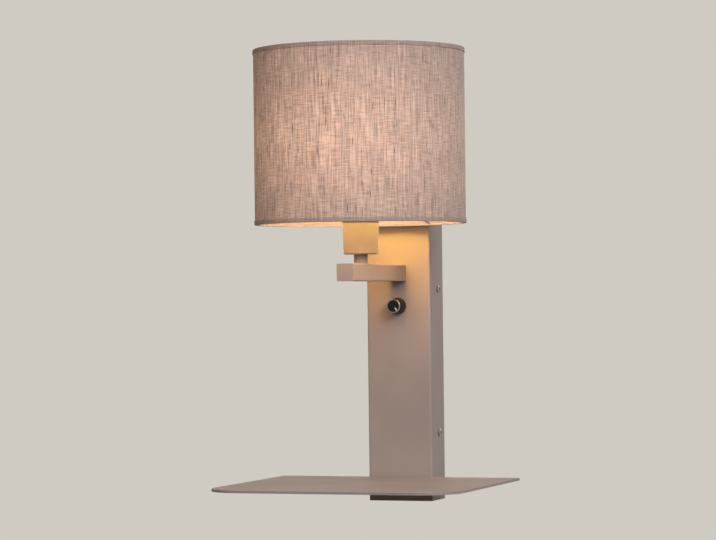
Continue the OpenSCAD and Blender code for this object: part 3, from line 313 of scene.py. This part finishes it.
def linen(name, glow, tone):
    """Plain-woven linen, laminated to the liner: uneven threads with slubs, with the bulb's light through it
    painted in as a glow.

    glow is the strength of the light that comes through, and tone the cloth's own brightness."""
    material, tree, shader = start(name)
    round_m, up_m = round_the_shade(tree)
    warp = threads(tree, up_m, round_m, 1.0 * MM, 26 * MM)             # upright threads, thick and thin
    bunch = threads(tree, up_m, round_m, 2.2 * MM, 45 * MM)            # upright threads that crowd together
    weft = threads(tree, round_m, up_m, 1.3 * MM, 14 * MM)             # threads round the shade
    knots = threads(tree, up_m, round_m, 1.7 * MM, 22 * MM, 1.0)       # upright slubs, 1 or 2 cm long
    cross_knots = threads(tree, round_m, up_m, 1.3 * MM, 6 * MM, 1.0)  # short slubs round the shade
    cloud = threads(tree, up_m, round_m, 18 * MM, 26 * MM)             # thicker and thinner areas of cloth
    # single threads, over and under
    waves = []
    for distance in (round_m, up_m):
        turn = add(tree, "Math", [distance, math.pi / THREAD_PITCH], operation="MULTIPLY")
        waves.append(add(tree, "Math", [turn], operation="SINE"))
    weave = add(tree, "Math", waves, operation="MULTIPLY")
    # the cloth's colour
    streaks = add(tree, "Math", [bunch, 0.28], operation="MULTIPLY")
    streaks = add(tree, "Math", [warp, 0.42, streaks], operation="MULTIPLY_ADD")
    streaks = add(tree, "Math", [weft, 0.30, streaks], operation="MULTIPLY_ADD")
    long_slub = add(tree, "MapRange", [knots, 0.67, 0.76], interpolation_type="SMOOTHSTEP")
    cross_slub = add(tree, "MapRange", [cross_knots, 0.72, 0.80, 0.0, 0.5], interpolation_type="SMOOTHSTEP")
    slub = add(tree, "Math", [long_slub, cross_slub], operation="MAXIMUM")
    body = add(tree, "ValToRGB", [streaks], stops=[(0.34, hexa("#957A6D")), (0.50, hexa("#B8A195")),
                                                   (0.66, hexa("#D0BEB4"))])
    slub_share = add(tree, "Math", [slub, 0.75], operation="MULTIPLY")
    body = add(tree, "Mix", {0: slub_share, 6: body, 7: hexa("#563B30")}, output=2, data_type="RGBA")
    fine = add(tree, "Math", [weave, 0.10, 0.95 * tone], operation="MULTIPLY_ADD")
    body = add(tree, "VectorMath", {0: body, "Scale": fine}, operation="SCALE")
    # light from the bulb, less above and below it
    from_glow = add(tree, "Math", [up_m, GLOW_Z - SHADE_LOW_Z], operation="SUBTRACT")
    from_glow = add(tree, "Math", [from_glow, GLOW_REACH], operation="DIVIDE")
    spread = add(tree, "Math", [from_glow, from_glow, 1.0], operation="MULTIPLY_ADD")
    # and less at the shade's sides: a painted glow, brighter facing BRIGHT_SIDE and its opposite, fixed on the
    # shade
    radius, facing = outward_of_shade(tree)
    painted_facing_glow = add(tree, "Math", [facing, facing], operation="MULTIPLY")
    painted_facing_glow = add(tree, "Math", [painted_facing_glow, 0.95, 0.60], operation="MULTIPLY_ADD")
    light = add(tree, "Math", [painted_facing_glow, spread], operation="DIVIDE")
    # dimmed by thick threads, slubs and thick areas
    gaps = add(tree, "MapRange", [streaks, 0.32, 0.68, 0.32, 1.52], interpolation_type="SMOOTHSTEP")
    past_slubs = add(tree, "Math", [slub, -0.85, 1.0], operation="MULTIPLY_ADD")
    thinness = add(tree, "Math", [cloud, 1.0, 0.50], operation="MULTIPLY_ADD")
    for part in (gaps, past_slubs, thinness, glow):
        light = add(tree, "Math", [light, part], operation="MULTIPLY")
    # the turned-in part of a binding faces the bulb: its glow is raised, and its colour is painted lighter for
    # the bulb's glare on it
    inside = add(tree, "MapRange", [radius, BINDING_OUTSIDE_R, BINDING_INSIDE_R],
                 interpolation_type="SMOOTHSTEP")
    light = add(tree, "Math", [inside, 0.25, light], operation="MULTIPLY_ADD")
    painted_glare_share = add(tree, "Math", [inside, 0.7], operation="MULTIPLY")
    body = add(tree, "Mix", {0: painted_glare_share, 6: body, 7: hexa("#D6C3BC")}, output=2, data_type="RGBA")
    warm = add(tree, "Mix", {0: inside, 6: hexa("#FFC29D"), 7: hexa("#FFDAC0")}, output=2, data_type="RGBA")
    height = add(tree, "Math", [streaks, slub], operation="ADD")
    height = add(tree, "Math", [weave, 0.25, height], operation="MULTIPLY_ADD")
    relief = add(tree, "Bump", {"Height": height, "Distance": 0.25 * MM, "Strength": 0.8})
    fill(tree, shader, {"Base Color": body, "Roughness": 0.92, "Sheen Weight": 0.15, "Sheen Roughness": 0.5,
                        "Emission Color": warm, "Emission Strength": light, "Normal": relief})
    return material


def film():
    """Translucent PVC film that stiffens the shade: smooth, cream, with the bulb's light on it painted in as a
    glow.
    """
    material, tree, shader = start("cream_liner_film")
    round_m, up_m = round_the_shade(tree)
    cloud = threads(tree, up_m, round_m, 12 * MM, 40 * MM)
    tone = add(tree, "ValToRGB", [cloud], stops=[(0.3, hexa("#E6D3C2")), (0.7, hexa("#F0DFCF"))])
    relief = add(tree, "Bump", {"Height": cloud, "Distance": 0.1 * MM, "Strength": 0.5})
    fill(tree, shader, {"Base Color": tone, "Roughness": 0.55, "Emission Color": hexa("#FFD9C4"),
                        "Emission Strength": 0.3, "Normal": relief})
    return material


dress("shade_liner", film())
SHADE_LINEN = linen("plain_woven_linen", 0.30, 1.05)
BAND_LINEN = linen("linen_binding", 0.13, 0.97)


# ---- modelling tools ----
def clear_selection():
    """Leaves edit mode and deselects everything."""
    if bpy.context.mode != "OBJECT":
        bpy.ops.object.mode_set(mode="OBJECT")
    bpy.ops.object.select_all(action="DESELECT")


def pick(piece):
    """Selects one piece and makes it the active one."""
    clear_selection()
    piece.select_set(True)
    bpy.context.view_layer.objects.active = piece


def finish_piece(piece, name, material, body="lamp"):
    """Applies a piece's place and modifiers, names it, dresses it and lets it ride on its body."""
    pick(piece)
    bpy.ops.object.transform_apply(location=True, rotation=True, scale=True)
    for modifier in list(piece.modifiers):
        bpy.ops.object.modifier_apply(modifier=modifier.name)
    piece.name = piece.data.name = name
    piece.data.materials.clear()
    piece.data.materials.append(material)
    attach(piece, body)
    return piece


def smooth(piece, degrees=35):
    """Smooth shading, apart from edges sharper than an angle."""
    pick(piece)
    bpy.ops.object.shade_smooth_by_angle(angle=math.radians(degrees))


def drawn_ring(points, segments=180, place=(0, LAMP_Y, 0), turn=(0, 0, SEAM_DIRECTION)):
    """A circle at the first (radius, height), extruded through the others and then set in its place."""
    clear_selection()
    radius, height = points[0]
    bpy.ops.mesh.primitive_circle_add(vertices=segments, radius=radius, location=(0, 0, height))
    piece = bpy.context.object
    bpy.ops.object.transform_apply(location=True, rotation=True, scale=True)
    bpy.ops.object.mode_set(mode="EDIT")
    bpy.ops.mesh.select_all(action="SELECT")
    for next_radius, next_height in points[1:]:
        bpy.ops.mesh.extrude_region_move(TRANSFORM_OT_translate={"value": (0, 0, next_height - height)})
        if abs(next_radius - radius) > 1e-7:
            share = next_radius / radius
            bpy.ops.transform.resize(value=(share, share, 1), center_override=(0, 0, next_height))
        radius, height = next_radius, next_height
    bpy.ops.mesh.select_all(action="SELECT")
    if points[0] == points[-1]:
        bpy.ops.mesh.remove_doubles(threshold=0.001 * MM)
    bpy.ops.mesh.normals_make_consistent(inside=False)
    bpy.ops.object.mode_set(mode="OBJECT")
    piece.location, piece.rotation_euler = place, turn
    bpy.ops.object.transform_apply(location=True, rotation=True, scale=True)
    return piece


def keep_sector(piece, direction, half_width):
    """Deletes the points of a ring that lie outside a sector about the shade's axis."""
    pick(piece)
    bpy.ops.object.mode_set(mode="EDIT")
    bpy.ops.mesh.select_all(action="DESELECT")
    bpy.ops.object.mode_set(mode="OBJECT")
    for point in piece.data.vertices:
        turn = math.atan2(point.co.y - LAMP_Y, point.co.x) - direction
        turn = (turn + math.pi) % (2 * math.pi) - math.pi
        point.select = abs(turn) > half_width + 1e-4
    bpy.ops.object.mode_set(mode="EDIT")
    bpy.ops.mesh.delete(type="VERT")
    bpy.ops.object.mode_set(mode="OBJECT")


def thicken(piece, thickness):
    """Gives a sheet its thickness, on the side away from its normals."""
    modifier = piece.modifiers.new("thickness", "SOLIDIFY")
    modifier.thickness = thickness
    modifier.offset = -1.0
    modifier.use_even_offset = True


def join(first, *others):
    """Applies the pieces' modifiers and makes them one object."""
    clear_selection()
    for piece in (first, *others):
        piece.select_set(True)
        bpy.context.view_layer.objects.active = piece
        for modifier in list(piece.modifiers):
            bpy.ops.object.modifier_apply(modifier=modifier.name)
    bpy.context.view_layer.objects.active = first
    bpy.ops.object.join()
    return first


# ---- shade ----
FABRIC_T = 0.7 * MM
LAP_T = 0.45 * MM
LAP_PROUD = 0.4 * MM                   # how far the lap stands out from the drum
BAND_T = 0.5 * MM
BAND_W = 4.5 * MM
TURN_IN = 7 * MM                       # width of a band inside the shade
BAND_OUTER_R = SHADE_R + 0.6 * MM
BAND_INNER_R = 104.9 * MM
SEAM_W = 10 * MM
CLOTH_LOW = SHADE_LOW_Z + 0.6 * MM
CLOTH_HIGH = SHADE_HIGH_Z - 0.6 * MM
CLOTH_ROWS = 40


def steps(low, high):
    """The heights of the cloth's rows, from low to high."""
    return [low + (high - low) * k / CLOTH_ROWS for k in range(CLOTH_ROWS + 1)]


def shade_cloth():
    """The linen drum with the glued lap of its ends, which stops short of the bindings."""
    drum = drawn_ring([(SHADE_R, z) for z in steps(CLOTH_LOW, CLOTH_HIGH)])
    thicken(drum, FABRIC_T)
    lap_margin = BAND_W + 0.1 * MM
    lap_heights = steps(SHADE_LOW_Z + lap_margin, SHADE_HIGH_Z - lap_margin)
    lap = drawn_ring([(SHADE_R + LAP_PROUD, z) for z in lap_heights], 360)
    keep_sector(lap, SEAM_DIRECTION, SEAM_W / SHADE_R / 2)
    thicken(lap, LAP_T)
    cloth = join(drum, lap)
    smooth(cloth)
    finish_piece(cloth, "shade_linen", SHADE_LINEN)
    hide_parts("shade_fabric")


def binding(name, node, edge_z, inward):
    """A folded strip of linen over the shade's edge; inward is +1 at the bottom and -1 at the top."""
    outer, inner = BAND_OUTER_R, BAND_INNER_R
    fold_r = 0.5 * MM
    corner = [(fold_r * math.cos(k * math.pi / 8), -fold_r * math.sin(k * math.pi / 8)) for k in range(5)]
    points = [(outer - 0.05 * MM, BAND_W), (outer, BAND_W - 0.3 * MM), (outer, 2 * MM)]
    points += [(outer - fold_r + x, fold_r + z) for x, z in corner]
    points += [(inner + fold_r - x, fold_r + z) for x, z in reversed(corner)]
    points += [(inner, 3 * MM), (inner, TURN_IN)]
    ring = drawn_ring([(radius, edge_z + inward * height) for radius, height in points])
    thicken(ring, BAND_T * 0.96)
    smooth(ring, 50)
    finish_piece(ring, name, BAND_LINEN)
    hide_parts(node)


shade_cloth()
binding("shade_bottom_binding", "shade_bottom_band", SHADE_LOW_Z, 1)
binding("shade_top_binding", "shade_top_band", SHADE_HIGH_Z, -1)


# ---- knob ----
RING_L = 1.2 * MM
RING_INNER_R = 6.45 * MM
RING_OUTER_R = 7.7 * MM
RING_ROUNDING = 0.8 * MM
RIB_COUNT = 26
RIB_W = 1.05 * MM
RIB_PROUD = 0.22 * MM
RIB_SUNK = 0.3 * MM                    # how deep a rib is set into the knob
FRONTWARD = (math.pi / 2, 0, 0)        # turns a shape drawn upwards to the front


def rounded_ring():
    """The bright ring let into the knob's front edge, rounded so that it catches the light."""
    inner, outer, r = RING_INNER_R, RING_OUTER_R, RING_ROUNDING
    bend = [(outer - r + r * math.sin(k * math.pi / 12), RING_L - r + r * math.cos(k * math.pi / 12))
            for k in range(7)]
    points = [(inner, 0), (inner, RING_L - 0.05 * MM), (inner + 0.1 * MM, RING_L)]
    points += bend + [(outer, 0), (inner, 0)]
    ring = drawn_ring(points, 96, (0, KNOB_FACE_Y + RING_L, KNOB_Z), FRONTWARD)
    smooth(ring, 40)
    finish_piece(ring, "knob_bright_ring", MATERIALS["ring"], "dimmer_knob")
    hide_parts("knob_ring")


def grip_ribs():
    """Fine ribs down the knob's tapered side, for the fingers."""
    back_y, front_y = KNOB_BACK_Y - 2.4 * MM, KNOB_FACE_Y + RING_L + 0.5 * MM
    middle_y = (back_y + front_y) / 2
    back_r, front_r = 8.85 * MM, 7.78 * MM
    clear_selection()
    bpy.ops.mesh.primitive_cube_add(size=1, location=(0, middle_y, KNOB_Z + back_r - RIB_SUNK),
                                    scale=(RIB_W, back_y - front_y, 2 * (RIB_PROUD + RIB_SUNK)))
    rib = bpy.context.object
    bpy.ops.object.transform_apply(location=True, rotation=True, scale=True)
    # the front end comes down to follow the taper
    bpy.ops.object.mode_set(mode="EDIT")
    bpy.ops.mesh.select_all(action="DESELECT")
    bpy.ops.object.mode_set(mode="OBJECT")
    for point in rib.data.vertices:
        point.select = point.co.y < middle_y
    bpy.ops.object.mode_set(mode="EDIT")
    bpy.ops.transform.translate(value=(0, 0, front_r - back_r))
    bpy.ops.object.mode_set(mode="OBJECT")
    rounding = rib.modifiers.new("rounding", "BEVEL")
    rounding.width = 0.2 * MM
    rounding.segments = 2
    bpy.ops.object.modifier_apply(modifier=rounding.name)
    ribs = [rib]
    for k in range(1, RIB_COUNT):
        pick(rib)
        bpy.ops.object.duplicate()
        copy = bpy.context.object
        bpy.ops.transform.rotate(value=2 * math.pi * k / RIB_COUNT, orient_axis="Y",
                                 center_override=(0, 0, KNOB_Z))
        bpy.ops.object.transform_apply(location=True, rotation=True, scale=True)
        ribs.append(copy)
    whole = join(*ribs)
    smooth(whole, 40)
    finish_piece(whole, "knob_grip_ribs", MATERIALS["knob"], "dimmer_knob")


rounded_ring()
grip_ribs()


# ---- floor and lights ----
BACKDROP = hexa("#CFCBC3")
FLOOR_Z = -0.78
FLOOR_SIZE = 12
SHEET_FROM, SHEET_TO = 0.5, 3.0        # distances over which the floor runs into the backdrop
LIT_PLACE = Vector((0, -0.1, 0.05))    # where the studio lamps point
LIGHT_REACH = 400 * MM                 # distance that the ramps of the lamp's own light cover


def seen_as_background(tree):
    """1 where the camera, a mirror or glass looks, and 0 for light on its way to the object."""
    seen = add(tree, "LightPath", output="Is Camera Ray")
    for kind in ("Is Glossy Ray", "Is Transmission Ray"):
        seen = add(tree, "Math", [seen, add(tree, "LightPath", output=kind)], operation="MAXIMUM")
    return seen


def pale_floor():
    """A plain matt floor, well below the lamp, that runs into the backdrop as a studio's curved sheet does."""
    clear_selection()
    bpy.ops.mesh.primitive_plane_add(size=FLOOR_SIZE, location=(0, 0, FLOOR_Z))
    floor = bpy.context.object
    floor.name = "floor"
    material, tree, shader = start("pale_floor")
    seen = seen_as_background(tree)
    tone = add(tree, "Mix", {0: seen, 6: hexa("#3A3532"), 7: hexa("#B9B4AC")}, output=2, data_type="RGBA")
    level = add(tree, "Math", [seen, 0.50], operation="MULTIPLY")
    fill(tree, shader, {"Base Color": tone, "Roughness": 0.9, "Emission Color": BACKDROP,
                        "Emission Strength": level})
    away = add(tree, "VectorMath", [add(tree, "TexCoord", output="Object")], output=1, operation="LENGTH")
    far = add(tree, "MapRange", [away, SHEET_FROM, SHEET_TO], interpolation_type="SMOOTHSTEP")
    share = add(tree, "Math", [seen, far], operation="MULTIPLY")
    sheet = add(tree, "Emission", [BACKDROP, 1.0])
    merged = add(tree, "MixShader", [share, shader.outputs[0], sheet])
    fill(tree, tree.nodes["Material Output"], [merged])
    floor.data.materials.append(material)


def hang(data, place):
    """Puts a lamp into the scene."""
    lamp = bpy.data.objects.new(data.name, data)
    bpy.context.collection.objects.link(lamp)
    lamp.location = place
    return lamp


def soft_light(name, place, size, power, colour="#FFFFFF"):
    """A square studio lamp that points at the object."""
    data = bpy.data.lights.new(name, "AREA")
    data.shape = "RECTANGLE"
    data.size = data.size_y = size
    data.energy = power
    data.color = hexa(colour)[:3]
    lamp = hang(data, place)
    lamp.rotation_euler = (LIT_PLACE - Vector(place)).to_track_quat("-Z", "Y").to_euler()


def lamp_nodes(data):
    """The node tree of a lamp, and how far its light has come as a share of LIGHT_REACH."""
    data.use_nodes = True
    travelled = add(data.node_tree, "LightPath", output="Ray Length")
    return data.node_tree, add(data.node_tree, "Math", [travelled, LIGHT_REACH], operation="DIVIDE")


def bulb_light():
    """The bulb's light down out of the shade; the globe and the liner glow by themselves, more softly."""
    data = bpy.data.lights.new("bulb_light", "SPOT")
    data.spot_size = math.radians(170)
    data.spot_blend = 0.3
    data.shadow_soft_size = GLOBE_R + 1 * MM
    data.use_soft_falloff = False
    data.energy = 2.15
    data.color = hexa("#FFD070")[:3]
    tree, reach = lamp_nodes(data)
    # little close to the bulb, most on the skirt at 45 mm, then the liner's foot and the column's top from
    # 105 to 150 mm, less down the column, and more again on the shelf from 300 mm
    share = add(tree, "ValToRGB", [reach], stops=[(place, grey(level)) for place, level in (
        (0.0, 0.02), (0.05, 0.15), (0.085, 4.0), (0.13, 4.0), (0.165, 0.03), (0.238, 0.03), (0.262, 0.66),
        (0.295, 0.65), (0.33, 0.62), (0.378, 0.65), (0.43, 0.54), (0.49, 0.27), (0.585, 0.10), (0.70, 0.10),
        (0.76, 0.6), (0.95, 0.8))])
    fill(tree, tree.nodes["Emission"], {"Strength": share})
    hang(data, (0, LAMP_Y, GLOBE_Z - GLOBE_R)).visible_camera = False


def liner_light():
    """Light that the bright liner sends down out of the shade, onto the cup, the arm and the column."""
    data = bpy.data.lights.new("liner_light", "AREA")
    data.shape = "DISK"
    data.size = 2 * (SHADE_R - 10 * MM)
    data.energy = 0.28
    tree, reach = lamp_nodes(data)
    share = add(tree, "ValToRGB", [reach], stops=[(place, grey(level)) for place, level in (
        (0.0, 1.0), (0.25, 1.0), (0.45, 0.4), (0.70, 0.2), (1.0, 0.15))])
    # yellower on the cup, close by, than farther away
    tint = add(tree, "ValToRGB", [reach], stops=[(0.0, hexa("#FFD971")), (0.08, hexa("#FFD679")),
                                                 (0.16, hexa("#FFCC8C")), (0.3, hexa("#FFC994"))])
    fill(tree, tree.nodes["Emission"], {"Strength": share, "Color": tint})
    hang(data, (0, LAMP_Y, SHADE_LOW_Z + 1 * MM)).visible_camera = False


def studio_world():
    """Even light from all round; the camera, mirrors and glass see a pale backdrop."""
    world = bpy.data.worlds.new("studio")
    bpy.context.scene.world = world
    world.use_nodes = True
    tree = world.node_tree
    light = tree.nodes["Background"]
    fill(tree, light, [hexa("#EDEBE8"), 0.22])
    backdrop = add(tree, "Background", [BACKDROP, 1.0])
    shown = add(tree, "MixShader", [seen_as_background(tree), light.outputs[0], backdrop])
    fill(tree, tree.nodes["World Output"], [shown])


pale_floor()
soft_light("key_light", (2.27, -2.73, 1.6), 1.4, 87, "#F5F8FF")
soft_light("fill_light", (-2.4, -2.0, 0.8), 2.0, 4.5, "#FFD8B8")
soft_light("back_light", (1.7, 2.5, 2.2), 1.4, 15)
bulb_light()
liner_light()
studio_world()

bpy.context.scene.view_settings.view_transform = "Standard"
